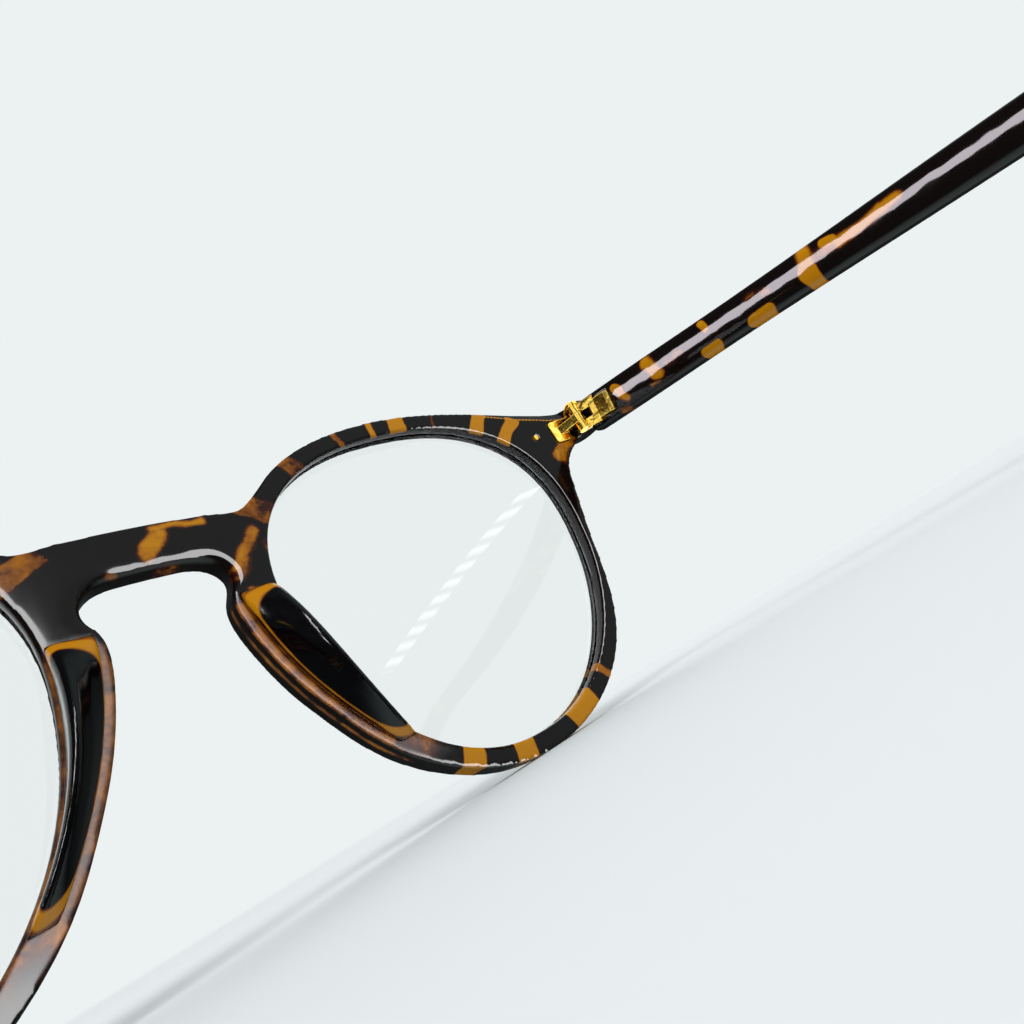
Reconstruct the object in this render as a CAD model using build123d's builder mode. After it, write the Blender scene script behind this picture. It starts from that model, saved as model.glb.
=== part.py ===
from build123d import *
import os
from math import asin, copysign, cos, pi, radians, sin, sqrt

# Spectacles: a moulded front with two round lenses and bonded nose pads, and two temples on
# three-barrel metal hinges. Millimetres, +Z up. The front faces -Y, the temples run back along +Y
# and the wearer's left is +X. Each piece is made for the +X side and mirrored for the -X side.
# The rims and the temple tips stand on Z = 0.

# ---- driving dimensions ----
# lens opening: a superellipse, wider at the top than at the bottom
LENS_HALF_W = 22.0
LENS_HALF_H = 23.0
LENS_ROUNDNESS = 2.23
LENS_TOP_WIDER = 0.148
LENS_X = 34.1
RIM_W = 2.4
LENS_Z = LENS_HALF_H + RIM_W

# front: a sheet bent about a vertical axis behind the wearer's nose
FRONT_Y = -69.9
FRONT_T = 3.5
FRONT_R = 250.0
OPENING_ROUND = 0.3

# outline from the middle of the bridge outwards: X, height above the lens centre
BRIDGE_TOP = [(0, 17.3), (4.5, 17.2), (8.4, 16.9), (11.2, 16.7), (13.1, 17.7)]
BRIDGE_BOTTOM = [(0, 12.2), (3.6, 12.1), (6.3, 11.2), (7.5, 9.0), (6.6, 6.6)]
BROW = [(44.9, 24.1), (51.3, 22.4), (57.9, 20.6), (62.0, 19.4), (66.5, 18.7)]
CHEEK = [(55.0, -9.5), (57.0, -2.0), (59.1, 5.0), (61.4, 10.2), (64.0, 12.2), (67.0, 13.4)]

# nasal flange
FLANGE_TOP = 5.6
FLANGE_X = 6.1
FLANGE_SLOPE = 0.11
FLANGE_CURVE = 0.0145
FLANGE_HEIGHTS = (3.6, 0.0, -5.0, -11.0, -16.5)

# end pieces that carry the hinges
HINGE_X = 64.5
HINGE_Y = FRONT_Y + 11.1
HINGE_Z = LENS_Z + 15.15
LUG_IN = HINGE_X + 1.15
LUG_OUT = LUG_IN + 4.0
LUG_OUTER_ROUND = 3.5
LUG_INNER_ROUND = 1.5
BUTT_GAP = 0.1
OVERRUN = 5.0

# lens and its groove
LENS_T = 1.4
LENS_SET_BACK = 1.6
GROOVE_DEPTH = 0.6
GROOVE_FIT = 0.03

# nose pads
PAD_HEIGHT = 5.3
PAD_MID = -4.8
PAD_HALF_L = 11.6
PAD_TAPER = 0.8
PAD_ROOT = 0.6
PAD_STEP = 1.2
PAD_BULGE = 0.35
PAD_CREST_W = 0.8
PAD_STATIONS = 11
PAD_SPREAD = 80.0
SEAM_INSET = 0.9

# hinge
KNUCKLE_R = 1.0
KNUCKLE_PITCH = 1.5
KNUCKLE_GAP = 0.1
SCREW_R = 0.6
SCREW_RUNNING = 0.05
SCREW_FIT = 0.01
SCREW_HEAD_R = 1.15
SCREW_HEAD_H = 0.65
SLOT_W = 0.3
POCKET_FIT = 0.02

# hinge plates and their pins
FRONT_PLATE = (3.0, 0.9, 3.8)
FRONT_PLATE_X = 62.5
FRONT_PLATE_ROUND = 0.6
ARM_R = 0.7
ARM_OUT = 0.4
FRONT_PIN_X = 58.0
FRONT_PIN_UP = 0.3
PIN_R = 0.45
PIN_L = 2.0
PIN_PROUD = 0.1
TEMPLE_PLATE = (0.9, 3.4, 3.4)
TEMPLE_PIN_PLACES = (0.3, 0.8)
PLATE_START = 2.7
PLATE_PROUD = 0.3
FORK_GAP_L = 2.5
FORK_L = 3.4
RECESS = (0.35, 3.9)
SLOT_TURN = 35.0

# temple
TEMPLE_DIP = 10.9
TEMPLE_SPLAY = 2.2
TEMPLE_Z = LENS_Z + 15.1
TEMPLE_SIZES = [(0, 6.1, 4.0), (35, 5.3, 3.7), (60, 5.5, 3.5), (100, 4.8, 3.0), (140, 5.8, 2.8)]
TEMPLE_SQUARENESS = 3.2
TEMPLE_STATION = 10.0
TEMPLE_LEAD = 3.0
TIP_ROUND = 2.7
TIP_INWARD = 6.0
INWARD_FROM = 60.0
STRAIGHT_L = 95.0
BEND_R = 50.0
BEND_TURN = 22.0
TIP_L = 25.7
CORE_R = 0.6
CORE_START = 9.0
CORE_END = 130.0
SECTION_POINTS = 20

os.makedirs("parts", exist_ok=True)


def write_pair(name, part):
    """Write the +X piece and its mirror image for the -X side, each as its own node."""
    part.label = name + "_left"
    export_step(part, f"parts/{name}_left.step")
    with BuildPart() as twin:
        mirror(part, about=Plane.YZ)
    twin.part.label = name + "_right"
    export_step(twin.part, f"parts/{name}_right.step")


def rim_point(angle, grow=0.0):
    """Point on the lens opening grown by a margin: 0 is temporal, 90 the top, 180 nasal."""
    power = 2 / LENS_ROUNDNESS
    across = copysign(abs(cos(radians(angle))) ** power, cos(radians(angle)))
    up = copysign(abs(sin(radians(angle))) ** power, sin(radians(angle)))
    x = LENS_X + (LENS_HALF_W + grow) * across * (1 + LENS_TOP_WIDER * up)
    return (x, LENS_Z + (LENS_HALF_H + grow) * up)


def rim_points(first, last, step, grow):
    """Points of the grown opening between two angles."""
    return [rim_point(angle, grow) for angle in range(first, last + 1, step)]


def above_lens(points):
    """Points given by their heights above the lens centre, in world X and Z."""
    return [(x, LENS_Z + height) for x, height in points]


def nasal_edge_x(height):
    """X of the opening's nasal side at a height above the lens centre."""
    up = height / LENS_HALF_H
    angle = asin(copysign(abs(up) ** (LENS_ROUNDNESS / 2), up))
    across = cos(angle) ** (2 / LENS_ROUNDNESS)
    return LENS_X - LENS_HALF_W * across * (1 + LENS_TOP_WIDER * up)


def flange_x(height):
    """X of the nasal flange's outer edge: a parabola that falls away from the nose."""
    drop = FLANGE_TOP - height
    return FLANGE_X + FLANGE_SLOPE * drop + FLANGE_CURVE * drop**2


def sheet_y(x, depth=0.0):
    """Y of a surface that is a depth in front of the front's rear surface."""
    radius = FRONT_R + depth
    return FRONT_Y + FRONT_R - sqrt(radius**2 - x**2)


# ---- front frame: a plan and a front view, each extruded, and what they share ----
BUTT_Y = HINGE_Y - BUTT_GAP / 2
REAR_PLANE = Plane.XZ.offset(-HINGE_Y - OVERRUN)
FRONT_DEPTH = HINGE_Y - FRONT_Y + FRONT_T + 2 * OVERRUN

with BuildPart() as plan_block:
    with BuildSketch(Plane.XY.offset(-OVERRUN)) as plan:
        with BuildLine():
            rear_end = (LUG_IN, sheet_y(LUG_IN))
            front_end = (LUG_OUT, sheet_y(LUG_OUT, FRONT_T))
            ThreePointArc((-rear_end[0], rear_end[1]), (0, FRONT_Y), rear_end)
            Polyline(rear_end, (LUG_IN, BUTT_Y), (LUG_OUT, BUTT_Y), front_end)
            ThreePointArc(front_end, (0, FRONT_Y - FRONT_T), (-front_end[0], front_end[1]))
            Polyline(
                (-front_end[0], front_end[1]),
                (-LUG_OUT, BUTT_Y),
                (-LUG_IN, BUTT_Y),
                (-rear_end[0], rear_end[1]),
            )
        make_face()
        fillet(plan.vertices().group_by(Axis.Y)[0], LUG_OUTER_ROUND)
        inner_corners = plan.vertices().filter_by(lambda v: abs(v.Y - rear_end[1]) < 0.01)
        fillet(inner_corners, LUG_INNER_ROUND)
    extrude(amount=2 * LENS_Z + 2 * OVERRUN)


def both_sides(half):
    """Points of an edge from the -X end to the +X end, given from the middle outwards."""
    return [(-x, z) for x, z in reversed(half[1:])] + half


LUG_END_X = LUG_OUT + OVERRUN
FLANGE = [(flange_x(height), height) for height in FLANGE_HEIGHTS]
LOWER_EDGE = [
    *above_lens(BRIDGE_BOTTOM + FLANGE),
    *rim_points(238, 318, 20, RIM_W),
    *above_lens(CHEEK),
]
UPPER_EDGE = [
    *above_lens(BRIDGE_TOP),
    *reversed(rim_points(80, 128, 16, RIM_W)),
    *above_lens(BROW),
]

with BuildPart() as front_view_block:
    with BuildSketch(REAR_PLANE):
        with BuildLine():
            lower = Spline(
                *both_sides(LOWER_EDGE), tangents=[(1, 0), (1, 0)], tangent_scalars=[1, 1]
            )
            upper = Spline(
                *both_sides(UPPER_EDGE), tangents=[(1, 0), (1, 0)], tangent_scalars=[1, 1]
            )
            for end, side in ((0, -1), (1, 1)):
                Polyline(
                    lower @ end,
                    (side * LUG_END_X, LOWER_EDGE[-1][1]),
                    (side * LUG_END_X, UPPER_EDGE[-1][1]),
                    upper @ end,
                )
        make_face()
    extrude(amount=FRONT_DEPTH)


def opening_prism(grow):
    """The lens opening grown by a margin, as a prism right through the front."""
    with BuildPart() as prism:
        with BuildSketch(REAR_PLANE):
            with BuildLine():
                Spline(*rim_points(0, 350, 10, grow), periodic=True)
            make_face()
        extrude(amount=FRONT_DEPTH)
    return prism.part


def lens_solid(grow, near, far):
    """A bent lens: the opening grown by a margin, between two depths in front of the rear."""
    with BuildPart() as lens:
        with BuildSketch():
            with Locations((0, FRONT_Y + FRONT_R)):
                Circle(FRONT_R + far)
                Circle(FRONT_R + near, mode=Mode.SUBTRACT)
            with Locations((LENS_X, FRONT_Y)):
                Rectangle(2 * LENS_X, 2 * LENS_X, mode=Mode.INTERSECT)
        extrude(amount=2 * LENS_Z)
        add(opening_prism(grow), mode=Mode.INTERSECT)
    return lens.part


# ---- hinge pieces, on the vertical axis through (HINGE_X, HINGE_Y) ----
KNUCKLE_BOTTOMS = [HINGE_Z + KNUCKLE_PITCH * (row - 1.5) for row in range(3)]
KNUCKLE_H = KNUCKLE_PITCH - KNUCKLE_GAP
HINGE_TOP = KNUCKLE_BOTTOMS[2] + KNUCKLE_H
SPLAY = radians(TEMPLE_SPLAY)
DIP = radians(TEMPLE_DIP)
LUG_PLATE_TURN = asin(FRONT_PLATE_X / FRONT_R)
LUG_PLATE = Plane(
    origin=(FRONT_PLATE_X, sheet_y(FRONT_PLATE_X), HINGE_Z),
    x_dir=(cos(LUG_PLATE_TURN), sin(LUG_PLATE_TURN), 0),
    z_dir=(-sin(LUG_PLATE_TURN), cos(LUG_PLATE_TURN), 0),
)
# the temple's own frame: X outwards through its thickness, Y back along it, Z up
TEMPLE_AXES = {
    "x_dir": (cos(SPLAY), -sin(SPLAY), 0),
    "z_dir": (sin(SPLAY) * sin(DIP), cos(SPLAY) * sin(DIP), cos(DIP)),
}
TEMPLE = Plane(origin=(LUG_IN, HINGE_Y, TEMPLE_Z), **TEMPLE_AXES)
HINGE = Plane(origin=(HINGE_X, HINGE_Y, HINGE_Z), **TEMPLE_AXES)
KNUCKLES_HALF_H = 1.5 * KNUCKLE_PITCH


def lug_plate(margin):
    """The front leaf's plate, let into the rear of the end piece."""
    width, thick, height = FRONT_PLATE
    with BuildPart() as plate:
        with BuildSketch(LUG_PLATE.offset(-thick - margin)):
            RectangleRounded(width + 2 * margin, height + 2 * margin, FRONT_PLATE_ROUND)
        extrude(amount=thick + PLATE_PROUD + 2 * margin)
    return plate.part


def front_pin(margin):
    """The pin that anchors the leaf, its end just proud of the rear of the front."""
    with BuildPart() as pin:
        with BuildSketch(Plane.XZ.offset(-sheet_y(FRONT_PIN_X) - PIN_PROUD)):
            with Locations((FRONT_PIN_X, HINGE_Z + FRONT_PIN_UP)):
                Circle(PIN_R + margin)
        extrude(amount=PIN_L)
    return pin.part


def temple_plate(margin):
    """The temple leaf's plate, let into the inner face of the temple, with a bevelled far end."""
    depth, length, height = TEMPLE_PLATE
    start = PLATE_START - margin
    end = PLATE_START + length + margin
    inner = -PLATE_PROUD
    outer = depth - PLATE_PROUD + margin
    with BuildPart() as plate:
        with BuildSketch(TEMPLE.offset(-height / 2 - margin)):
            with BuildLine():
                Polyline(
                    (inner, start),
                    (outer, start),
                    (outer, end),
                    (inner + PLATE_PROUD, end),
                    (inner, end - 2 * PLATE_PROUD),
                    close=True,
                )
            make_face()
        extrude(amount=height + 2 * margin)
    return plate.part


def temple_pins(margin):
    """Two pins that run from the plate out into the temple."""
    depth, length, height = TEMPLE_PLATE
    face = Plane(origin=TEMPLE.origin, x_dir=TEMPLE.y_dir, z_dir=TEMPLE.x_dir)
    with BuildPart() as pins:
        with BuildSketch(face.offset(depth - PLATE_PROUD + POCKET_FIT)):
            with Locations(*[(PLATE_START + length * part, 0) for part in TEMPLE_PIN_PLACES]):
                Circle(PIN_R + margin)
        extrude(amount=PIN_L)
    return pins.part


def fork_bar(low, high):
    """A bar of the fork from the knuckles back to the plate, between two heights."""
    plate_in = LUG_IN - HINGE_X - PLATE_PROUD
    plate_out = plate_in + TEMPLE_PLATE[0]
    with BuildPart() as bar:
        with BuildSketch(HINGE.offset(low)):
            with BuildLine():
                Polyline(
                    (0, 0),
                    (KNUCKLE_R, 0),
                    (plate_out, FORK_GAP_L),
                    (plate_out, FORK_L),
                    (plate_in, FORK_L),
                    (plate_in - PLATE_PROUD, FORK_GAP_L),
                    close=True,
                )
            make_face()
        extrude(amount=high - low)
    return bar.part


with BuildPart() as front_hinge_leaf:
    add(lug_plate(0))
    with BuildSketch(Plane.XY.offset(KNUCKLE_BOTTOMS[1])):
        with Locations((HINGE_X, HINGE_Y)):
            Circle(KNUCKLE_R)
        with Locations((FRONT_PLATE_X + ARM_OUT, sheet_y(FRONT_PLATE_X))):
            Circle(ARM_R)
        make_hull()
    extrude(amount=KNUCKLE_H)
    with BuildSketch(Plane.XY.offset(KNUCKLE_BOTTOMS[1])):
        with Locations((HINGE_X, HINGE_Y)):
            Circle(SCREW_R + SCREW_RUNNING)
    extrude(amount=KNUCKLE_H, mode=Mode.SUBTRACT)
write_pair("front_hinge_leaf", front_hinge_leaf.part)

with BuildPart() as temple_hinge_leaf:
    add(fork_bar(TEMPLE_Z - HINGE_Z - TEMPLE_PLATE[2] / 2, KNUCKLES_HALF_H))
    with BuildSketch(HINGE.offset(-KNUCKLES_HALF_H)):
        with Locations((0, FORK_GAP_L / 2)):
            Rectangle(4 * KNUCKLE_R, FORK_GAP_L)
    extrude(amount=2 * KNUCKLES_HALF_H, mode=Mode.SUBTRACT)
    add(fork_bar(-KNUCKLES_HALF_H, -KNUCKLE_PITCH / 2))
    add(fork_bar(KNUCKLE_PITCH / 2, KNUCKLES_HALF_H))
    for row in (0, 2):
        with BuildSketch(Plane.XY.offset(KNUCKLE_BOTTOMS[row])):
            with Locations((HINGE_X, HINGE_Y)):
                Circle(KNUCKLE_R)
        extrude(amount=KNUCKLE_H)
    add(temple_plate(0))
    with BuildSketch(Plane.XY.offset(KNUCKLE_BOTTOMS[1] - KNUCKLE_GAP)):
        with Locations((HINGE_X, HINGE_Y)):
            Circle(KNUCKLE_R + 2 * KNUCKLE_GAP)
    extrude(amount=KNUCKLE_PITCH + KNUCKLE_GAP, mode=Mode.SUBTRACT)
    with BuildSketch(Plane.XY.offset(KNUCKLE_BOTTOMS[0] - KNUCKLE_PITCH)):
        with Locations((HINGE_X, HINGE_Y)):
            Circle(SCREW_R + SCREW_FIT)
    extrude(amount=5 * KNUCKLE_PITCH, mode=Mode.SUBTRACT)
write_pair("temple_hinge_leaf", temple_hinge_leaf.part)

with BuildPart() as hinge_screw:
    with BuildSketch(Plane.XY.offset(KNUCKLE_BOTTOMS[0])):
        with Locations((HINGE_X, HINGE_Y)):
            Circle(SCREW_R)
    extrude(amount=HINGE_TOP - KNUCKLE_BOTTOMS[0])
    with BuildSketch(Plane.XY.offset(HINGE_TOP)):
        with Locations((HINGE_X, HINGE_Y)):
            Circle(SCREW_HEAD_R)
    extrude(amount=SCREW_HEAD_H)
    fillet(hinge_screw.edges().group_by(Axis.Z)[-1], SCREW_HEAD_H / 3)
    with BuildSketch(Plane.XY.offset(HINGE_TOP + SCREW_HEAD_H / 2)):
        with Locations((HINGE_X, HINGE_Y)):
            Rectangle(3 * SCREW_HEAD_R, SLOT_W, rotation=SLOT_TURN)
    extrude(amount=SCREW_HEAD_H, mode=Mode.SUBTRACT)
write_pair("hinge_screw", hinge_screw.part)

write_pair("front_hinge_pin", front_pin(0))
write_pair("temple_hinge_pins", temple_pins(0))

# ---- front frame ----
with BuildPart() as front_blank:
    add(plan_block.part)
    add(front_view_block.part, mode=Mode.INTERSECT)

with BuildPart() as front_frame:
    add(front_blank.part)
    opening = opening_prism(0)
    add(opening, mode=Mode.SUBTRACT)
    mirror(opening, about=Plane.YZ, mode=Mode.SUBTRACT)
    long_edges = front_frame.edges().filter_by(lambda e: e.length > 5 * LENS_HALF_H)
    fillet(long_edges.filter_by(lambda e: abs(e.center().X) > RIM_W), OPENING_ROUND)
    groove_far = LENS_SET_BACK + LENS_T + GROOVE_FIT
    groove = lens_solid(GROOVE_DEPTH + GROOVE_FIT, LENS_SET_BACK - GROOVE_FIT, groove_far)
    pockets = [groove, lug_plate(POCKET_FIT), front_pin(POCKET_FIT)]
    for pocket in pockets:
        add(pocket, mode=Mode.SUBTRACT)
        mirror(pocket, about=Plane.YZ, mode=Mode.SUBTRACT)
front_frame.part.label = "front_frame"
export_step(front_frame.part, "parts/front_frame.step")

write_pair("lens", lens_solid(GROOVE_DEPTH, LENS_SET_BACK, LENS_SET_BACK + LENS_T))


# ---- nose pads: a wedge that rises behind the rim, highest along the lens opening ----
def pad_station(place):
    """Section of the pad at a place from -1, its bottom, to 1, its top."""
    height = PAD_MID + PAD_HALF_L * place
    crest = PAD_HEIGHT * (1 - place**2) ** PAD_TAPER
    step = min(PAD_STEP, crest / 2)
    outer = flange_x(height) + SEAM_INSET
    inner = nasal_edge_x(height) - SEAM_INSET / 3
    top = inner - PAD_CREST_W
    base = sheet_y(outer) - PAD_ROOT
    middle = ((outer + top) / 2, sheet_y(outer) + (step + crest) / 2 + PAD_BULGE * crest / PAD_HEIGHT)
    with BuildSketch(Plane.XY.offset(LENS_Z + height)) as station:
        with BuildLine():
            Polyline(
                (outer, base),
                (outer + step / 6, sheet_y(outer) + step),
                middle,
                (top, sheet_y(inner) + crest),
                (inner, sheet_y(inner) + crest - PAD_CREST_W / 2),
                (inner, base),
                close=True,
            )
        make_face()
    return station.sketch


with BuildPart() as nose_pad:
    for row in range(PAD_STATIONS):
        add(pad_station(sin(radians(PAD_SPREAD * (2 * row / (PAD_STATIONS - 1) - 1)))))
    loft()
    add(front_blank.part, mode=Mode.SUBTRACT)
write_pair("nose_pad", nose_pad.part)


# ---- temples ----
BEND_L = BEND_R * radians(BEND_TURN)
TEMPLE_L = STRAIGHT_L + BEND_L + TIP_L


def temple_size(along):
    """Height and thickness of the temple at a distance from the hinge."""
    for (near, high, thick), (far, next_high, next_thick) in zip(TEMPLE_SIZES, TEMPLE_SIZES[1:]):
        if along <= far:
            part = max(0.0, (along - near) / (far - near))
            part = part * part * (3 - 2 * part)
            return (high + (next_high - high) * part, thick + (next_thick - thick) * part)
    return TEMPLE_SIZES[-1][1:]


def temple_plane(along):
    """Plane across the temple at a distance from the hinge, its X pointing outwards."""
    turn = min(max(along - STRAIGHT_L, 0) / BEND_R, radians(BEND_TURN))
    straight = min(along, STRAIGHT_L) + max(along - STRAIGHT_L - BEND_L, 0) * cos(turn)
    drop = max(along - STRAIGHT_L - BEND_L, 0) * sin(turn) + BEND_R * (1 - cos(turn))
    inward = TIP_INWARD * (max(along - INWARD_FROM, 0) / (TEMPLE_L - INWARD_FROM)) ** 2
    middle = TEMPLE_SIZES[0][2] / 2 - inward
    centre = TEMPLE.from_local_coords((middle, straight + BEND_R * sin(turn), -drop))
    ahead = TEMPLE.from_local_coords((0, cos(turn), -sin(turn))) - TEMPLE.origin
    return Plane(origin=centre, x_dir=TEMPLE.x_dir, z_dir=ahead)


def temple_outline(along):
    """Points round the temple's section, a squarish superellipse."""
    high, thick = temple_size(along)
    power = 2 / TEMPLE_SQUARENESS
    points = []
    for step in range(SECTION_POINTS):
        angle = 2 * pi * (step + 0.5) / SECTION_POINTS
        x = copysign(abs(cos(angle)) ** power, cos(angle)) * thick / 2
        y = copysign(abs(sin(angle)) ** power, sin(angle)) * high / 2
        points.append((x, y))
    return points


count = round((TEMPLE_L + TEMPLE_LEAD) / TEMPLE_STATION)
stations = [(TEMPLE_L + TEMPLE_LEAD) * row / count - TEMPLE_LEAD for row in range(count + 1)]
tip = temple_plane(TEMPLE_L)
tip_high, tip_thick = temple_size(TEMPLE_L)

with BuildPart() as temple:
    for along in stations:
        with BuildSketch(temple_plane(along)):
            with BuildLine():
                Spline(*temple_outline(along), periodic=True)
            make_face()
    loft()
    with BuildSketch(Plane(origin=tip.origin, x_dir=tip.z_dir, z_dir=tip.x_dir)):
        Rectangle(2 * TIP_ROUND, 2 * tip_high)
        with Locations((-TIP_L / 2, 0)):
            RectangleRounded(TIP_L, tip_high, TIP_ROUND, mode=Mode.SUBTRACT)
    extrude(amount=tip_thick, both=True, mode=Mode.SUBTRACT)
    split(bisect_by=Plane.XZ.offset(-HINGE_Y - BUTT_GAP / 2), keep=Keep.BOTTOM)
    with BuildSketch(TEMPLE.offset(-RECESS[1] / 2)):
        with Locations((0, (PLATE_START + TEMPLE_PLATE[1]) / 2)):
            Rectangle(2 * RECESS[0], PLATE_START + TEMPLE_PLATE[1] + 2 * RECESS[0])
    extrude(amount=RECESS[1], mode=Mode.SUBTRACT)
    add(temple_hinge_leaf.part, mode=Mode.SUBTRACT)
    add(temple_plate(POCKET_FIT), mode=Mode.SUBTRACT)
    add(temple_pins(POCKET_FIT), mode=Mode.SUBTRACT)

with BuildPart() as temple_core:
    core_stations = [CORE_START] + [along for along in stations if CORE_START < along < CORE_END]
    for along in core_stations:
        with BuildSketch(temple_plane(along)):
            Circle(CORE_R)
    loft()
write_pair("temple_core", temple_core.part)

with BuildPart() as temple_body:
    add(temple.part)
    add(temple_core.part, mode=Mode.SUBTRACT)
write_pair("temple", temple_body.part)
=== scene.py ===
import math
import random

import bmesh
import bpy
import numpy as np
from mathutils import Euler, Matrix, Vector


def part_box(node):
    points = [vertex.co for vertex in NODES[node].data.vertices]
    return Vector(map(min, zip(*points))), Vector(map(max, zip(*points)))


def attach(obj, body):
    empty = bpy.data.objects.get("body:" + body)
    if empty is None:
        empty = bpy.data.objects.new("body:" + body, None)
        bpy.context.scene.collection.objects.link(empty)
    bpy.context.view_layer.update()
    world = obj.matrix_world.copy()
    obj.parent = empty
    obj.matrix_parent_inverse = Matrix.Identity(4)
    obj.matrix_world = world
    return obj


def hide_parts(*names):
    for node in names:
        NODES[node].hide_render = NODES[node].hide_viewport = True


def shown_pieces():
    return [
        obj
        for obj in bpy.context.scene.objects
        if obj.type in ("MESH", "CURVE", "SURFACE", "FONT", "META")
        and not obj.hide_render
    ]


# Spectacles in tortoiseshell plastic. The CAD lenses, hinges, pins, screws and core wires stay.
# The front, the temples and the nose pads are replaced by polished skins round the same solids.
# Metres, +Z up, the front faces -Y, and the wearer's left is +X.

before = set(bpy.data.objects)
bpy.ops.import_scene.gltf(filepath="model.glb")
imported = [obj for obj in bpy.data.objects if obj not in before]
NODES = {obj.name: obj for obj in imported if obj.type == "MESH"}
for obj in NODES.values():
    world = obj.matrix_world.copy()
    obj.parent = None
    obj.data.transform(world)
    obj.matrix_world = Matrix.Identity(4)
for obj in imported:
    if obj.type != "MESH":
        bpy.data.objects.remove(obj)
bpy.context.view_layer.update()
MM = 0.001

FRONT_LOW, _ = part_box("front_frame")
LENS_LOW, LENS_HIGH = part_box("lens_left")
# the front's thickness and the radius that its rear surface is bent to
FRONT_T = 3.5 * MM
FRONT_R = 250 * MM
# the rear surface of the front at the middle of the bridge, and the height of the lens centres
REAR_Y = FRONT_LOW.y + FRONT_T
LENS_Z = (LENS_LOW.z + LENS_HIGH.z) / 2


# ---- mesh tools ----
def mesh_object(name, bm):
    """A new object, in the scene, from a bmesh, which is freed."""
    mesh = bpy.data.meshes.new(name)
    bm.to_mesh(mesh)
    bm.free()
    obj = bpy.data.objects.new(name, mesh)
    bpy.context.scene.collection.objects.link(obj)
    return obj


def apply_modifiers(obj):
    """Turns an object's modifiers into its mesh."""
    bpy.context.view_layer.update()
    seen = obj.evaluated_get(bpy.context.evaluated_depsgraph_get())
    mesh = bpy.data.meshes.new_from_object(seen)
    old = obj.data
    obj.modifiers.clear()
    obj.data = mesh
    bpy.data.meshes.remove(old)


SMOOTHING = 0.5
WORN_PASSES = 120
WORN_SHARES = (0.3, 0.3, 0.4)


def polished(name, sources, voxel, passes, worn=None):
    """One smooth-edged skin round the CAD nodes named, worn rounder where a mask says so."""
    bm = bmesh.new()
    for source in sources:
        bm.from_mesh(NODES[source].data)
    obj = mesh_object(name, bm)
    remesh = obj.modifiers.new("skin", "REMESH")
    remesh.mode = "VOXEL"
    remesh.voxel_size = voxel
    remesh.use_smooth_shade = True
    wear = obj.modifiers.new("wear", "SMOOTH")
    wear.factor = SMOOTHING
    wear.iterations = passes
    apply_modifiers(obj)
    if worn:
        group = obj.vertex_groups.new(name="worn")
        for share, picked in enumerate(worn(points_of(obj))):
            group.add(np.flatnonzero(picked).tolist(), WORN_SHARES[share], "ADD")
        rounder = obj.modifiers.new("rounder", "SMOOTH")
        rounder.factor = SMOOTHING
        rounder.iterations = WORN_PASSES
        rounder.vertex_group = group.name
        apply_modifiers(obj)
    obj.data.shade_smooth()
    return obj


def paint(obj, name, values):
    """Stores one number per vertex for the materials to read."""
    layer = obj.data.attributes.new(name, "FLOAT", "POINT")
    layer.data.foreach_set("value", np.asarray(values, np.float32))


def points_of(obj):
    """An object's vertices in millimetres, as an array."""
    co = np.empty(len(obj.data.vertices) * 3, np.float32)
    obj.data.vertices.foreach_get("co", co)
    return co.reshape(-1, 3) / MM


# ---- materials ----
def new_material(name):
    material = bpy.data.materials.new(name)
    material.use_nodes = True
    tree = material.node_tree
    return material, tree, tree.nodes["Principled BSDF"]


def node(tree, kind, inputs=None, **settings):
    """A shader node with its settings, its unlinked inputs' values and its links."""
    made = tree.nodes.new(kind)
    for key, value in settings.items():
        setattr(made, key, value)
    for key, value in (inputs or {}).items():
        socket = made.inputs[key]
        if isinstance(value, bpy.types.NodeSocket):
            tree.links.new(value, socket)
        else:
            socket.default_value = value
    return made


def ramp(tree, source, stops, mode="LINEAR"):
    """A colour ramp over the stops, each a place and a colour."""
    made = node(tree, "ShaderNodeValToRGB", {"Fac": source})
    made.color_ramp.interpolation = mode
    elements = made.color_ramp.elements
    while len(elements) < len(stops):
        elements.new(0.5)
    for element, (place, colour) in zip(elements, stops):
        element.position = place
        element.color = (*colour, 1)
    return made.outputs["Color"]


def millimetres(tree):
    """Position in the piece's own space, in millimetres."""
    where = node(tree, "ShaderNodeTexCoord").outputs["Object"]
    scaled = node(tree, "ShaderNodeVectorMath", {0: where, 3: 1 / MM}, operation="SCALE")
    return scaled.outputs["Vector"]


def noise(tree, where, scale, detail=2.0, rough=0.5, **inputs):
    made = node(tree, "ShaderNodeTexNoise",
                {"Vector": where, "Scale": scale, "Detail": detail, "Roughness": rough, **inputs})
    return made.outputs["Fac"]


def maths(tree, operation, first, second=0.0, third=0.0, clamp=False):
    made = node(tree, "ShaderNodeMath", {0: first, 1: second, 2: third}, operation=operation)
    made.use_clamp = clamp
    return made.outputs["Value"]


NEAR_BLACK = (0.0040, 0.0018, 0.0018)
RED_BROWN = (0.034, 0.0048, 0.0018)
ORANGE = (0.25, 0.078, 0.0025)
AMBER = (0.40, 0.160, 0.0012)


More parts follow.
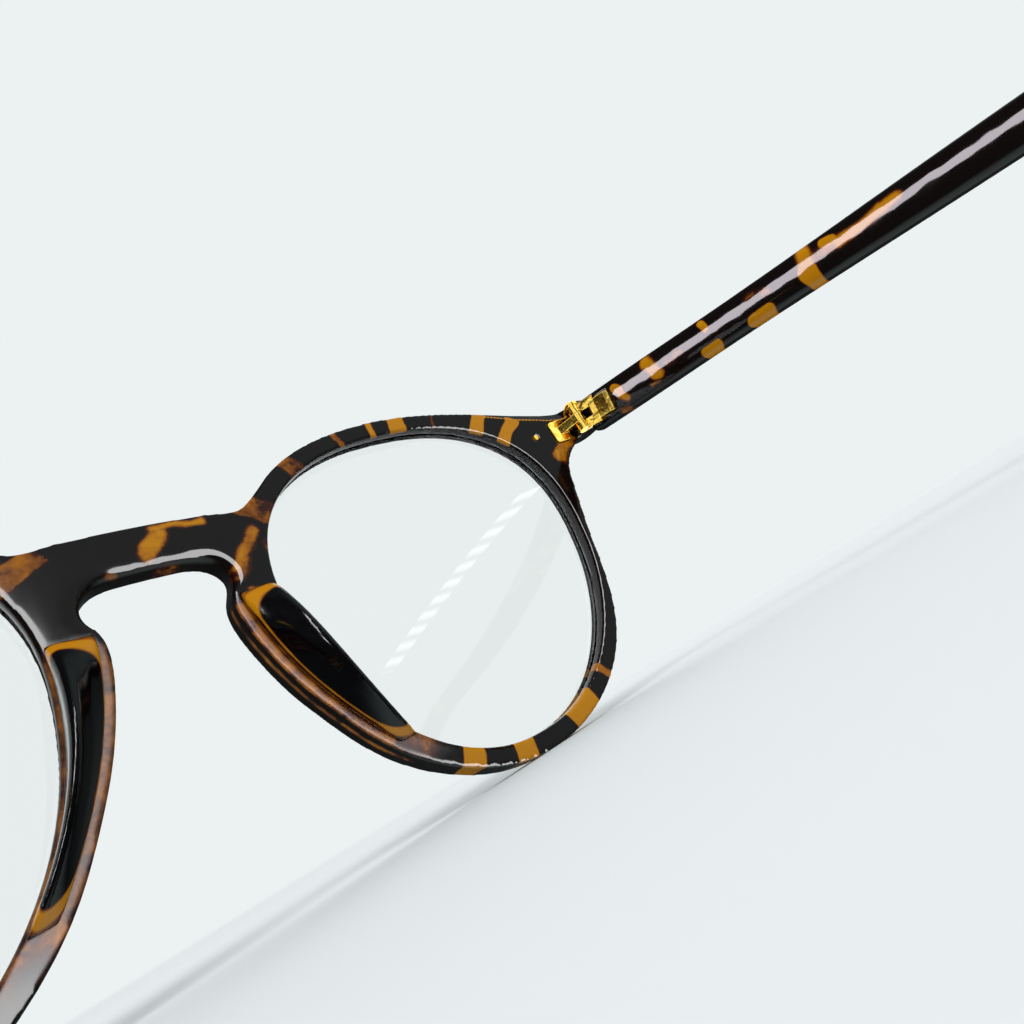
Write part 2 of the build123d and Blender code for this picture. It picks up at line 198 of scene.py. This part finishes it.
def tortoiseshell():
    """Polished acetate: the painted warmth field, broken up by noise, picks the colour."""
    material, tree, shader = new_material("tortoiseshell")
    where = millimetres(tree)
    warmth = node(tree, "ShaderNodeAttribute", attribute_name="warmth").outputs["Fac"]
    coarse = noise(tree, where, 0.45, 2.0, 0.5, Distortion=0.4)
    fine = noise(tree, where, 2.2, 2.0, 0.6)
    edge = maths(tree, "MULTIPLY_ADD", coarse, 0.50, -0.25)
    grain = maths(tree, "MULTIPLY_ADD", fine, 0.16, -0.08)
    level = maths(tree, "ADD", warmth, edge)
    level = maths(tree, "ADD", level, grain, clamp=True)
    stops = [(0.0, NEAR_BLACK), (0.22, NEAR_BLACK), (0.36, RED_BROWN), (0.50, ORANGE),
             (0.66, AMBER), (1.0, AMBER)]
    colour = ramp(tree, level, stops)
    tree.links.new(colour, shader.inputs["Base Color"])
    scratch = noise(tree, where, 9.0, 3.0, 0.6)
    rough = maths(tree, "MULTIPLY_ADD", scratch, 0.06, 0.03)
    satin = node(tree, "ShaderNodeAttribute", attribute_name="satin").outputs["Fac"]
    rough = maths(tree, "MULTIPLY_ADD", satin, 0.30, rough)
    tree.links.new(rough, shader.inputs["Roughness"])
    shader.inputs["IOR"].default_value = 1.5
    return material


def pad_plastic():
    """Near-black plum plastic with an amber foot where it is bonded to the rim."""
    material, tree, shader = new_material("nose_pad_plastic")
    where = millimetres(tree)
    warmth = node(tree, "ShaderNodeAttribute", attribute_name="warmth").outputs["Fac"]
    cloud = noise(tree, where, 0.5, 2.0, 0.5)
    level = maths(tree, "ADD", warmth, maths(tree, "MULTIPLY_ADD", cloud, 0.3, -0.15), clamp=True)
    stops = [(0.0, (0.0010, 0.0006, 0.0012)), (0.26, (0.0016, 0.0008, 0.0012)), (0.40, RED_BROWN),
             (0.56, ORANGE), (0.75, AMBER)]
    tree.links.new(ramp(tree, level, stops), shader.inputs["Base Color"])
    rough = maths(tree, "MULTIPLY_ADD", noise(tree, where, 7.0, 3.0, 0.6), 0.08, 0.06)
    tree.links.new(rough, shader.inputs["Roughness"])
    shader.inputs["IOR"].default_value = 1.5
    return material


def gold():
    """Polished gold plate with faint wear, its sharp edges rounded in the shading."""
    material, tree, shader = new_material("hinge_gold")
    where = millimetres(tree)
    tone = noise(tree, where, 1.6, 3.0, 0.6)
    colour = ramp(tree, tone, [(0.3, (0.86, 0.52, 0.075)), (0.7, (0.96, 0.72, 0.16))])
    tree.links.new(colour, shader.inputs["Base Color"])
    rough = maths(tree, "MULTIPLY_ADD", noise(tree, where, 6.0, 3.0, 0.6), 0.14, 0.06)
    tree.links.new(rough, shader.inputs["Roughness"])
    soft = node(tree, "ShaderNodeBevel", {"Radius": 0.12 * MM}, samples=6).outputs["Normal"]
    dents = noise(tree, where, 0.9, 1.0, 0.5)
    bumpy = node(tree, "ShaderNodeBump", {"Strength": 0.5, "Distance": 0.1 * MM, "Height": dents,
                                          "Normal": soft})
    tree.links.new(bumpy.outputs["Normal"], shader.inputs["Normal"])
    shader.inputs["Metallic"].default_value = 1.0
    return material


def steel():
    """Drawn wire."""
    material, tree, shader = new_material("core_steel")
    where = millimetres(tree)
    tone = noise(tree, where, 3.0, 3.0, 0.6)
    colour = ramp(tree, tone, [(0.3, (0.45, 0.45, 0.46)), (0.7, (0.62, 0.62, 0.63))])
    tree.links.new(colour, shader.inputs["Base Color"])
    shader.inputs["Metallic"].default_value = 1.0
    shader.inputs["Roughness"].default_value = 0.35
    return material


def clear_lens():
    """Clear coated lens with a trace of dust, and a ground edge that shows as a pale grey band with
    painted highlight and shade lines along it.
    """
    material, tree, shader = new_material("lens_clear")
    where = millimetres(tree)
    dust = noise(tree, where, 1.2, 4.0, 0.7)
    rough = maths(tree, "MULTIPLY_ADD", dust, 0.02, 0.0)
    tree.links.new(rough, shader.inputs["Roughness"])
    shader.inputs["Base Color"].default_value = (0.985, 0.995, 0.99, 1)
    shader.inputs["Transmission Weight"].default_value = 1.0
    shader.inputs["IOR"].default_value = 1.5
    # painted highlights and shade: light and dark lines run round the ground edge and change across
    # the lens's thickness; the pale grey is the edge's own frosting
    depth = node(tree, "ShaderNodeSeparateXYZ", {"Vector": where}).outputs["Y"]
    tone = noise(tree, node(tree, "ShaderNodeCombineXYZ", {"X": depth}).outputs["Vector"], 3.0, 2.0)
    grey = ramp(tree, tone, [(0.40, (0.10, 0.10, 0.11)), (0.62, (0.80, 0.82, 0.88))])
    ground = node(tree, "ShaderNodeBsdfDiffuse", {"Color": grey})
    facing_out = node(tree, "ShaderNodeNewGeometry").outputs["True Normal"]
    level = node(tree, "ShaderNodeSeparateXYZ", {"Vector": facing_out}).outputs["Y"]
    edge = maths(tree, "LESS_THAN", maths(tree, "ABSOLUTE", level), 0.6)
    whole = node(tree, "ShaderNodeMixShader",
                 {0: edge, 1: shader.outputs["BSDF"], 2: ground.outputs["BSDF"]})
    tree.links.new(whole.outputs["Shader"], tree.nodes["Material Output"].inputs["Surface"])
    return material


# ---- tortoiseshell pattern ----
# bars right across the visible rim: the angle round the lens from the temporal side, half the
# bar's width in millimetres, and how amber it is
RIM_BARS = [
    (124, 1.3, 0.42), (105, 0.6, 0.50), (92, 0.5, 0.85), (82, 1.3, 1.0),
    (69, 0.35, 0.42), (53, 1.1, 1.0), (42, 1.1, 1.0), (-75, 2.6, 1.0),
    (-100, 1.4, 1.0), (-116, 1.3, 1.0), (-60, 0.7, 0.55), (142, 1.6, 0.40),
]
# streaks on the front, seen from behind: two ends (x, above the lens centre), half width, amber
FRONT_STREAKS = [
    ((-61.9, 12.7), (-60.0, 11.2), 1.3, 0.53), ((-63.8, 13.1), (-62.6, 12.2), 0.9, 0.44),
    ((-60.0, 11.6), (-59.6, 10.8), 0.6, 0.70), ((-12.0, 13.6), (-8.6, 9.6), 0.85, 0.54),
    ((-9.6, 10.2), (-8.2, 8.2), 0.9, 0.50), ((-7.0, 16.4), (-1.6, 16.4), 0.45, 0.80),
    ((-2.0, 15.6), (-0.2, 13.8), 1.1, 0.62), ((-12.5, 12.0), (-12.7, 7.0), 0.5, 0.42),
    ((-3.0, 12.0), (-0.8, 12.2), 0.4, 0.46), ((-8.8, 6.4), (-11.4, 5.0), 0.45, 0.62),
]
# streaks on the temples, seen from between them: two ends (behind the front, above the lens
# centre), half width, amber
TEMPLE_STREAKS = [
    ((18.7, 14.6), (19.2, 14.0), 0.75, 1.0), ((18.8, 13.2), (19.4, 12.2), 0.8, 0.58),
    ((17.6, 11.0), (18.6, 10.6), 0.8, 0.46), ((25.4, 14.0), (25.9, 11.4), 1.15, 0.66),
    ((24.0, 10.5), (25.4, 10.2), 0.45, 0.46), ((34.9, 12.2), (34.9, 11.2), 0.5, 1.0),
    ((33.7, 8.5), (35.2, 8.2), 0.7, 1.0), ((41.1, 7.05), (43.0, 6.7), 0.85, 1.0),
    ((50.2, 9.4), (49.7, 7.8), 1.0, 0.72), ((49.6, 7.2), (49.2, 4.2), 1.1, 0.85),
    ((52.6, 8.4), (53.8, 8.0), 0.5, 1.0), ((54.2, 7.2), (61.0, 6.2), 0.7, 0.80),
    ((41.6, 9.8), (44.4, 9.3), 0.9, 0.40), ((28.0, 11.8), (30.6, 11.4), 0.8, 0.38),
    ((50.8, 8.0), (54.0, 7.4), 0.9, 0.42),
]
# the heights, above the lens centre, past which the amber line round the pads' feet widens
PAD_ENDS = (-13.0, 2.5)
# the streaks fill the part up to here, across and behind the front, and scattered patches the rest
SHOWN_X = 3
SHOWN_BACK = 60
RIM_CENTRE_X = 34.1
# how many patches are scattered, and in what box: across, back and up, in millimetres
SCATTER = 380
SCATTER_BOX = ((-72, 72), (-5, 145), (-26, 18))
EDGE_BLUR = 0.55


WAVE_LENGTHS = (6.0, 4.0, 2.6)
WAVE_SHARE = 0.018


def warped(place):
    """The places pushed about by a few slow waves, so that no patch is a plain oval."""
    rng = np.random.default_rng(5)
    moved = place.copy()
    for length in WAVE_LENGTHS:
        for _ in range(3):
            heading = rng.normal(size=3)
            heading *= 2 * np.pi / length / np.linalg.norm(heading)
            shove = rng.normal(size=3) * WAVE_SHARE * length
            moved += np.sin(place @ heading + rng.uniform(0, 6))[:, None] * shove
    return moved


def patch(place, middle, halves, strength):
    """A blunt-cornered patch: the strength inside it, nothing outside, crisp if it is amber."""
    off = (np.abs((place - np.array(middle)) / np.array(halves)) ** 2.6).sum(1) ** (1 / 2.6)
    blur = EDGE_BLUR * (1 if strength > 0.8 else 2.6)
    return strength * np.clip(0.5 + (1 - off) * min(halves) / blur, 0, 1)


def streak(place, first, last, half, strength):
    """A round-ended streak between two points of a plane, crisp if it is amber."""
    first, last = np.array(first), np.array(last)
    along = last - first
    share = np.clip((place - first) @ along / (along @ along), 0, 1)
    off = np.linalg.norm(place - first - share[:, None] * along, axis=1)
    blur = EDGE_BLUR * (1 if strength > 0.8 else 2.0)
    return strength * np.clip(0.5 + (half - off) / blur, 0, 1)


# the brow's top edge: distance from the middle, height above the lens centre
BROW_X = (48.0, 51.0, 54.2, 57.9, 60.0, 62.0, 64.0, 66.5)
BROW_TOP = (23.3, 22.4, 21.6, 20.6, 20.0, 19.4, 18.9, 18.7)


def brow_depth(points):
    """How far each point is below the brow's top edge."""
    return np.interp(np.abs(points[:, 0]), BROW_X, BROW_TOP) - points[:, 2] + LENS_Z / MM


def brow_width(points):
    """How wide the bevel along the brow's rear edge is: nothing over the lens, then widening."""
    return np.interp(np.abs(points[:, 0]), (48.0, 50.0, 57.0, 62.0, 65.0, 66.0),
                     (0.0, 0.3, 1.4, 1.7, 1.7, 0.0))


def bevel_brows(obj):
    """Presses the rear edge of the brows forward to a sloping plane."""
    points = points_of(obj)
    over = brow_width(points) - brow_depth(points)
    near = (np.abs(points[:, 0]) > 48) & (np.abs(points[:, 0]) < 66) & (over > 0)
    pressed = points[:, 1] - depth_behind(points) - 0.55 * over
    points[:, 1] = np.where(near, np.minimum(points[:, 1], pressed), points[:, 1])
    obj.data.vertices.foreach_set("co", (points * MM).ravel())
    obj.data.update()


def warmth_at(points):
    """How amber the plastic is at each point, from 0, black-brown, to 1."""
    place = warped(points - np.array([0, REAR_Y / MM, LENS_Z / MM], np.float32))
    shown = (place[:, 0] < SHOWN_X) & (place[:, 1] < SHOWN_BACK)
    warm = np.zeros(len(points), np.float32)
    rng = random.Random(12)
    for _ in range(SCATTER):
        middle = [rng.uniform(*limits) for limits in SCATTER_BOX]
        size = rng.uniform(0.9, 2.4)
        halves = (size, size * rng.uniform(0.8, 2.2), size * rng.uniform(0.7, 1.6))
        strength = rng.choice((0.42, 0.6, 0.85, 1.0, 1.0))
        warm = np.maximum(warm, ~shown * patch(place, middle, halves, strength))
    x = np.abs(place[:, 0]) - RIM_CENTRE_X
    round_lens = np.hypot(x, place[:, 2])
    on_rim = (place[:, 1] < 9) & (round_lens < 30) & (round_lens > 18)
    turn = np.degrees(np.arctan2(place[:, 2], x))
    on_rear = np.clip((depth_behind(points) + 0.6) / 0.25, 0, 1)
    for number, (angle, half, strength) in enumerate(RIM_BARS):
        for side in (-1, 1):
            at = angle if side < 0 else angle + 23 + 5 * (number % 3)
            off = np.abs((turn - at + 180) % 360 - 180) * np.pi / 180 * round_lens
            bar = strength * np.clip(0.5 + (half - off) / EDGE_BLUR, 0, 1)
            # painted shade: on the upper rim the bars keep to the strip of inner wall next to the rear
            # face, so the rest of that wall stays near black
            bar *= np.where((at > 20) & (at < 160), on_rear, 1)
            warm = np.maximum(warm, on_rim * (place[:, 0] * side > 0) * bar)
    on_front = (place[:, 1] < 10.5) & (place[:, 0] < SHOWN_X)
    for first, last, half, strength in FRONT_STREAKS:
        warm = np.maximum(warm, on_front * streak(place[:, (0, 2)], first, last, half, strength))
    on_temple = (place[:, 1] > 10.5) & (place[:, 0] < -60)
    for first, last, half, strength in TEMPLE_STREAKS:
        warm = np.maximum(warm, on_temple * streak(place[:, (1, 2)], first, last, half, strength))
    # a long streak in the temporal side of the visible rim
    vein = np.clip(1.4 - np.abs(round_lens - 24.6) / 0.5, 0, 1) * 0.62
    vein *= np.clip(1.4 - np.abs(turn + 12) / 22, 0, 1) * (place[:, 0] < 0) * on_rim
    warm = np.maximum(warm, vein)
    # a thin amber line along the crease under each brow
    crease = np.abs(brow_depth(points) - brow_width(points)) < 0.2
    warm = np.maximum(warm, 0.75 * (crease & (np.abs(points[:, 0]) > 50) & (place[:, 1] < 9)))
    # a brown band in the side of the nasal flange, on both sides, that fades out at its ends
    back = depth_behind(points)
    band = 0.46 * np.clip(1.5 - np.abs(back + 1.55) / 0.5, 0, 1)
    band = np.maximum(band, 0.42 * np.clip((back + 0.35) / 0.15, 0, 1))
    beside = flange_share(points)
    return warm * (1 - beside) + band * beside


def flange_share(points):
    """1 on the nasal flanges beside the pads, fading to 0 above and below them."""
    across = np.abs(points[:, 0])
    above = points[:, 2] - LENS_Z / MM
    share = np.clip((7.0 - above) / 2, 0, 1) * np.clip((above + 21) / 4, 0, 1)
    return share * (across > 5) * (across < 22)


def depth_behind(points):
    """How far behind the front's rear surface each point is."""
    return points[:, 1] - REAR_Y / MM - points[:, 0] ** 2 / (2 * FRONT_R / MM)


def pad_warmth_at(points):
    """The pads are dark above a brown foot with an amber line round its top, wider at its ends."""
    back = depth_behind(points)
    height = points[:, 2] - LENS_Z / MM
    end = np.clip((height - PAD_ENDS[1]) / 2, 0, 1) + np.clip((PAD_ENDS[0] - height) / 2, 0, 1)
    foot = 0.46 * np.clip(1.5 - np.abs(back - 0.55) / 0.22, 0, 1)
    line = (0.66 + 0.2 * end) * np.clip(1.5 - np.abs(back - 1.15) / (0.20 + 0.35 * end), 0, 1)
    return np.maximum(foot, line)


# ---- pieces ----
TORTOISE = tortoiseshell()
PAD = pad_plastic()
GOLD = gold()
STEEL = steel()
CLEAR = clear_lens()


def dress(obj, material, body, slot, *replaced):
    """Gives a piece its material, its body and the nodes it stands for; the slot it is given is not
    used.
    """
    obj.data.materials.clear()
    obj.data.materials.append(material)
    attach(obj, body)
    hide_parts(*replaced)


def under_bridge(points):
    """Nested masks round the lower rear edge of the bridge, one for each share of WORN_SHARES."""
    across = np.abs(points[:, 0])
    above = points[:, 2] - LENS_Z / MM
    back = points[:, 1] - REAR_Y / MM
    return [(across < 9.5 - inset) & (above > 7 + inset) & (above < 15 - inset) & (back > -2.6 + inset)
            for inset in (0.0, 0.35, 0.7)]


front = polished("front", ["front_frame"], 0.2 * MM, 8, under_bridge)
bevel_brows(front)
paint(front, "warmth", warmth_at(points_of(front)))
paint(front, "satin", flange_share(points_of(front)))
dress(front, TORTOISE, "front", "tortoiseshell", "front_frame")

PAD_OF = {}
for side in ("left", "right"):
    body = f"temple_{side}"
    temple = polished(f"temple_arm_{side}", [f"temple_{side}", f"temple_core_{side}"], 0.25 * MM, 8)
    paint(temple, "warmth", warmth_at(points_of(temple)))
    dress(temple, TORTOISE, body, "tortoiseshell", f"temple_{side}")
    pad = polished(f"pad_{side}", [f"nose_pad_{side}"], 0.15 * MM, 60)
    PAD_OF[side] = pad
    paint(pad, "warmth", pad_warmth_at(points_of(pad)))
    dress(pad, PAD, "front", "nose_pad_plastic", f"nose_pad_{side}")
    lens = NODES[f"lens_{side}"]
    lens.data.materials.clear()
    lens.data.materials.append(CLEAR)
    for part in ("front_hinge_leaf", "front_hinge_pin", "temple_hinge_leaf", "temple_hinge_pins",
                 "hinge_screw"):
        metal = NODES[f"{part}_{side}"]
        metal.data.materials.clear()
        metal.data.materials.append(GOLD)
    core = NODES[f"temple_core_{side}"]
    core.data.materials.clear()
    core.data.materials.append(STEEL)


# which pieces each panel shows in
def collection_of(name, picked):
    made = bpy.data.collections.new(name)
    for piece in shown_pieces():
        if picked(piece):
            made.objects.link(piece)
    return made


FRONT = collection_of("front_only", lambda piece: piece.name == "front")
TEMPLES = collection_of("temples_only", lambda piece: piece.name.startswith("temple_arm"))
PADS = collection_of("pads_only", lambda piece: piece.name.startswith("pad_"))
LENSES = collection_of("lenses_only", lambda piece: piece.name.startswith("lens_"))
METALS = collection_of("metals_only", lambda piece: GOLD.name in piece.data.materials)


# ---- camera ----
# the camera stands between the temples, low, and looks up at the wearer's right lens and hinge
CAMERA_TURN = (108.40, 30.31, 143.13)
CAMERA_LENS = 24.01
CAMERA_PLACE = Vector((22.73 * MM, REAR_Y + 70.57 * MM, LENS_Z - 21.94 * MM))
camera_data = bpy.data.cameras.new("camera")
camera_data.lens = CAMERA_LENS
camera_data.sensor_width = 36
camera_data.clip_start = 0.002
camera = bpy.data.objects.new("camera", camera_data)
bpy.context.scene.collection.objects.link(camera)
turn = Euler([math.radians(angle) for angle in CAMERA_TURN])
camera.matrix_world = Matrix.Translation(CAMERA_PLACE) @ turn.to_matrix().to_4x4()
bpy.context.scene.camera = camera


# ---- stage and light ----
BACKDROP = (0.84, 0.88, 0.885)
MIRRORED = (0.80, 0.98, 0.95)
# the direction of a window that only reflections show
WINDOW_SIDE = (-0.61, 0.67, 0.42)
# how far from the middle the floor starts to fade into the backdrop, and where it has
FADE = (0.12, 0.60)
FLOOR_R = 4.0


def mirrored_ray(tree):
    """1 for a ray that a polished surface has thrown back, 0 for one that looks through glass."""
    path = node(tree, "ShaderNodeLightPath")
    through = maths(tree, "SUBTRACT", 1.0, path.outputs["Is Transmission Ray"])
    return maths(tree, "MULTIPLY", path.outputs["Is Glossy Ray"], through)


def floor():
    """A pale floor that the rims and the temple tips stand on."""
    bm = bmesh.new()
    bmesh.ops.create_circle(bm, cap_ends=True, segments=96, radius=FLOOR_R)
    ground = mesh_object("floor", bm)
    material, tree, shader = new_material("floor")
    where = node(tree, "ShaderNodeTexCoord").outputs["Object"]
    tone = noise(tree, where, 3.0, 2.0, 0.5)
    colour = ramp(tree, tone, [(0.3, (0.50, 0.52, 0.53)), (0.7, (0.53, 0.55, 0.56))])
    tree.links.new(colour, shader.inputs["Base Color"])
    shader.inputs["Roughness"].default_value = 0.8
    shader.inputs["Specular IOR Level"].default_value = 0.1
    far = node(tree, "ShaderNodeVectorMath", {0: where}, operation="LENGTH").outputs["Value"]
    fade = node(tree, "ShaderNodeMapRange", {"Value": far, 1: FADE[0], 2: FADE[1]},
                interpolation_type="SMOOTHSTEP").outputs["Result"]
    haze = node(tree, "ShaderNodeEmission", {"Color": (*BACKDROP, 1), "Strength": 1.0})
    seen = node(tree, "ShaderNodeMixShader",
                {0: fade, 1: shader.outputs["BSDF"], 2: haze.outputs["Emission"]})
    clear = node(tree, "ShaderNodeBsdfTransparent")
    whole = node(tree, "ShaderNodeMixShader",
                 {0: mirrored_ray(tree), 1: seen.outputs["Shader"], 2: clear.outputs["BSDF"]})
    tree.links.new(whole.outputs["Shader"], tree.nodes["Material Output"].inputs["Surface"])
    ground.data.materials.append(material)


# how far from a piece its highlight's panel stands
REACH = 0.4
# how near a spot a vertex is to count towards the surface's direction there
AROUND = 0.35 * MM


def facing(place, target):
    """A placement at a point whose -Z looks at a target."""
    aim = Vector(target) - Vector(place)
    return Matrix.Translation(place) @ aim.to_track_quat("-Z", "Y").to_matrix().to_4x4()


def area_light(name, place, target, width, height, power, colour=(1, 1, 1)):
    """A soft rectangular light that faces a target and shows in no reflection."""
    data = bpy.data.lights.new(name, "AREA")
    data.shape = "RECTANGLE"
    data.size = width
    data.size_y = height
    data.energy = power
    data.color = colour
    light = bpy.data.objects.new(name, data)
    bpy.context.scene.collection.objects.link(light)
    light.matrix_world = facing(place, target)
    light.visible_camera = False
    light.visible_glossy = False
    light.visible_transmission = False


def reflector(name, placement, width, height, strength, colour, shining, stripes=0):
    """A glowing panel seen only in the shining pieces, striped like a row of tubes if asked."""
    bm = bmesh.new()
    bmesh.ops.create_grid(bm, x_segments=4, y_segments=2, size=0.5)
    bmesh.ops.scale(bm, vec=(width, height, 1), verts=bm.verts)
    panel = mesh_object(name, bm)
    panel.matrix_world = placement
    material = bpy.data.materials.new(name)
    material.use_nodes = True
    tree = material.node_tree
    tree.nodes.clear()
    light = node(tree, "ShaderNodeEmission", {"Color": (*colour, 1), "Strength": strength})
    if stripes:
        where = node(tree, "ShaderNodeTexCoord").outputs["Object"]
        along = node(tree, "ShaderNodeSeparateXYZ", {"Vector": where}).outputs["X"]
        wave = maths(tree, "SINE", maths(tree, "MULTIPLY", along, 2 * math.pi * stripes / width))
        lit = maths(tree, "MULTIPLY_ADD", wave, 0.45 * strength, 0.55 * strength)
        tree.links.new(lit, light.inputs["Strength"])
    out = node(tree, "ShaderNodeOutputMaterial")
    tree.links.new(light.outputs["Emission"], out.inputs["Surface"])
    panel.data.materials.append(material)
    panel.light_linking.receiver_collection = shining
    panel.visible_camera = False
    panel.visible_diffuse = False
    panel.visible_shadow = False
    panel.visible_transmission = False


def thrown_back(obj, spot):
    """A point of a piece near a spot, and where the line of sight to it goes after the mirror."""
    _, hit, normal, _ = obj.closest_point_on_mesh(spot)
    normals = np.empty(len(obj.data.vertices) * 3, np.float32)
    obj.data.vertices.foreach_get("normal", normals)
    around = np.linalg.norm(points_of(obj) * MM - np.array(hit), axis=1) < AROUND
    if around.any():
        normal = Vector(normals.reshape(-1, 3)[around].mean(0)).normalized()
    sight = (hit - CAMERA_PLACE).normalized()
    return hit, sight - 2 * sight.dot(normal) * normal


def highlight(name, obj, first, last, spread, height, strength, shining, stripes, slide=0.0):
    """A panel that shows on a piece between two spots, each given as x, how far behind the front
    and how far above the lens centre. Its length is spread times what the spots need, and slide
    moves it up.
    """
    ends = []
    for x, behind, above in (first, last):
        spot = Vector((x * MM, REAR_Y + behind * MM, LENS_Z + above * MM))
        hit, way = thrown_back(obj, spot)
        ends.append(hit + REACH * way)
    along = ends[1] - ends[0]
    middle = (ends[0] + ends[1]) / 2
    x_axis = along.normalized()
    y_axis = x_axis.cross(hit - middle).normalized()
    if y_axis.z < 0:
        x_axis, y_axis = -x_axis, -y_axis
    turned = Matrix((x_axis, y_axis, x_axis.cross(y_axis))).transposed().to_4x4()
    middle += y_axis * slide
    reflector(name, Matrix.Translation(middle) @ turned, along.length * spread, height, strength,
              (1.0, 1.0, 1.0), shining, stripes)


def metal_drum(radius, height, strength):
    """A tall glowing drum, streaked light and dark, seen only in the gold."""
    bm = bmesh.new()
    bmesh.ops.create_cone(bm, cap_ends=True, segments=96, radius1=radius, radius2=radius, depth=height)
    drum = mesh_object("metal_drum", bm)
    drum.location = (0, -0.03, 0.04)
    material = bpy.data.materials.new("metal_drum")
    material.use_nodes = True
    tree = material.node_tree
    tree.nodes.clear()
    where = node(tree, "ShaderNodeTexCoord").outputs["Object"]
    streaks = noise(tree, where, 14.0, 1.0, 0.5)
    lit = node(tree, "ShaderNodeMapRange",
               {"Value": streaks, 1: 0.40, 2: 0.54, 3: 0.25 * strength, 4: strength})
    light = node(tree, "ShaderNodeEmission",
                 {"Color": (1.0, 0.97, 0.90, 1), "Strength": lit.outputs["Result"]})
    clear = node(tree, "ShaderNodeBsdfTransparent")
    both = node(tree, "ShaderNodeAddShader", {0: light.outputs["Emission"], 1: clear.outputs["BSDF"]})
    out = node(tree, "ShaderNodeOutputMaterial")
    tree.links.new(both.outputs["Shader"], out.inputs["Surface"])
    drum.data.materials.append(material)
    drum.light_linking.receiver_collection = METALS
    drum.visible_camera = False
    drum.visible_diffuse = False
    drum.visible_shadow = False
    drum.visible_transmission = False


def studio():
    """A pale world to look at, with a darker studio in the reflections."""
    world = bpy.data.worlds.new("studio")
    bpy.context.scene.world = world
    world.use_nodes = True
    tree = world.node_tree
    sky = tree.nodes["Background"]
    sky.inputs["Color"].default_value = (*BACKDROP, 1)
    mirrored = node(tree, "ShaderNodeBackground", {"Color": (*MIRRORED, 1)})
    ray = node(tree, "ShaderNodeTexCoord").outputs["Generated"]
    height = node(tree, "ShaderNodeSeparateXYZ", {"Vector": ray}).outputs["Z"]
    below = node(tree, "ShaderNodeMapRange", {"Value": height, 1: -0.5, 2: -0.95, 3: 0.05, 4: 0.7},
                 interpolation_type="SMOOTHSTEP").outputs["Result"]
    side = node(tree, "ShaderNodeVectorMath", {0: ray, 1: WINDOW_SIDE}, operation="DOT_PRODUCT")
    window = node(tree, "ShaderNodeMapRange",
                  {"Value": side.outputs["Value"], 1: 0.45, 2: 0.95, 3: 0.0, 4: 0.32},
                  interpolation_type="SMOOTHSTEP").outputs["Result"]
    tree.links.new(maths(tree, "ADD", below, window), mirrored.inputs["Strength"])
    mix = node(tree, "ShaderNodeMixShader", {0: mirrored_ray(tree)})
    tree.links.new(sky.outputs["Background"], mix.inputs[1])
    tree.links.new(mirrored.outputs["Background"], mix.inputs[2])
    tree.links.new(mix.outputs["Shader"], tree.nodes["World Output"].inputs["Surface"])


bpy.context.scene.view_settings.view_transform = "Standard"
floor()
studio()
area_light("key", (0.25, 0.35, 0.60), (0, -0.04, 0.03), 0.5, 0.4, 4)
area_light("fill", (-0.5, -0.3, 0.5), (0, -0.03, 0.03), 0.6, 0.5, 3)
LAVENDER = (1.0, 0.92, 0.99)
SOFTBOX_PLACE = (0.385, -0.13, 0.21)
SOFTBOX_TARGET = (-0.065, -0.03, 0.033)
reflector("temple_softbox", facing(SOFTBOX_PLACE, SOFTBOX_TARGET), 0.5, 0.09, 12, LAVENDER, TEMPLES)
highlight("bridge_strip", front, (-1.5, -0.4, 12.7), (-6.0, -0.4, 12.7), 2.3, 0.15, 11, FRONT, 0,
          -0.06)
highlight("pad_strip", PAD_OF["right"], (-10.9, 4.48, 0.3), (-11.8, 4.93, -4.2), 0.85, 0.032, 22,
          PADS, 9)
highlight("lens_strip", NODES["lens_right"], (-53.7, 4.2, 8.2), (-19.3, -0.9, -8.1), 1.0, 0.005, 4,
          LENSES, 11)
metal_drum(0.45, 0.9, 1.9)
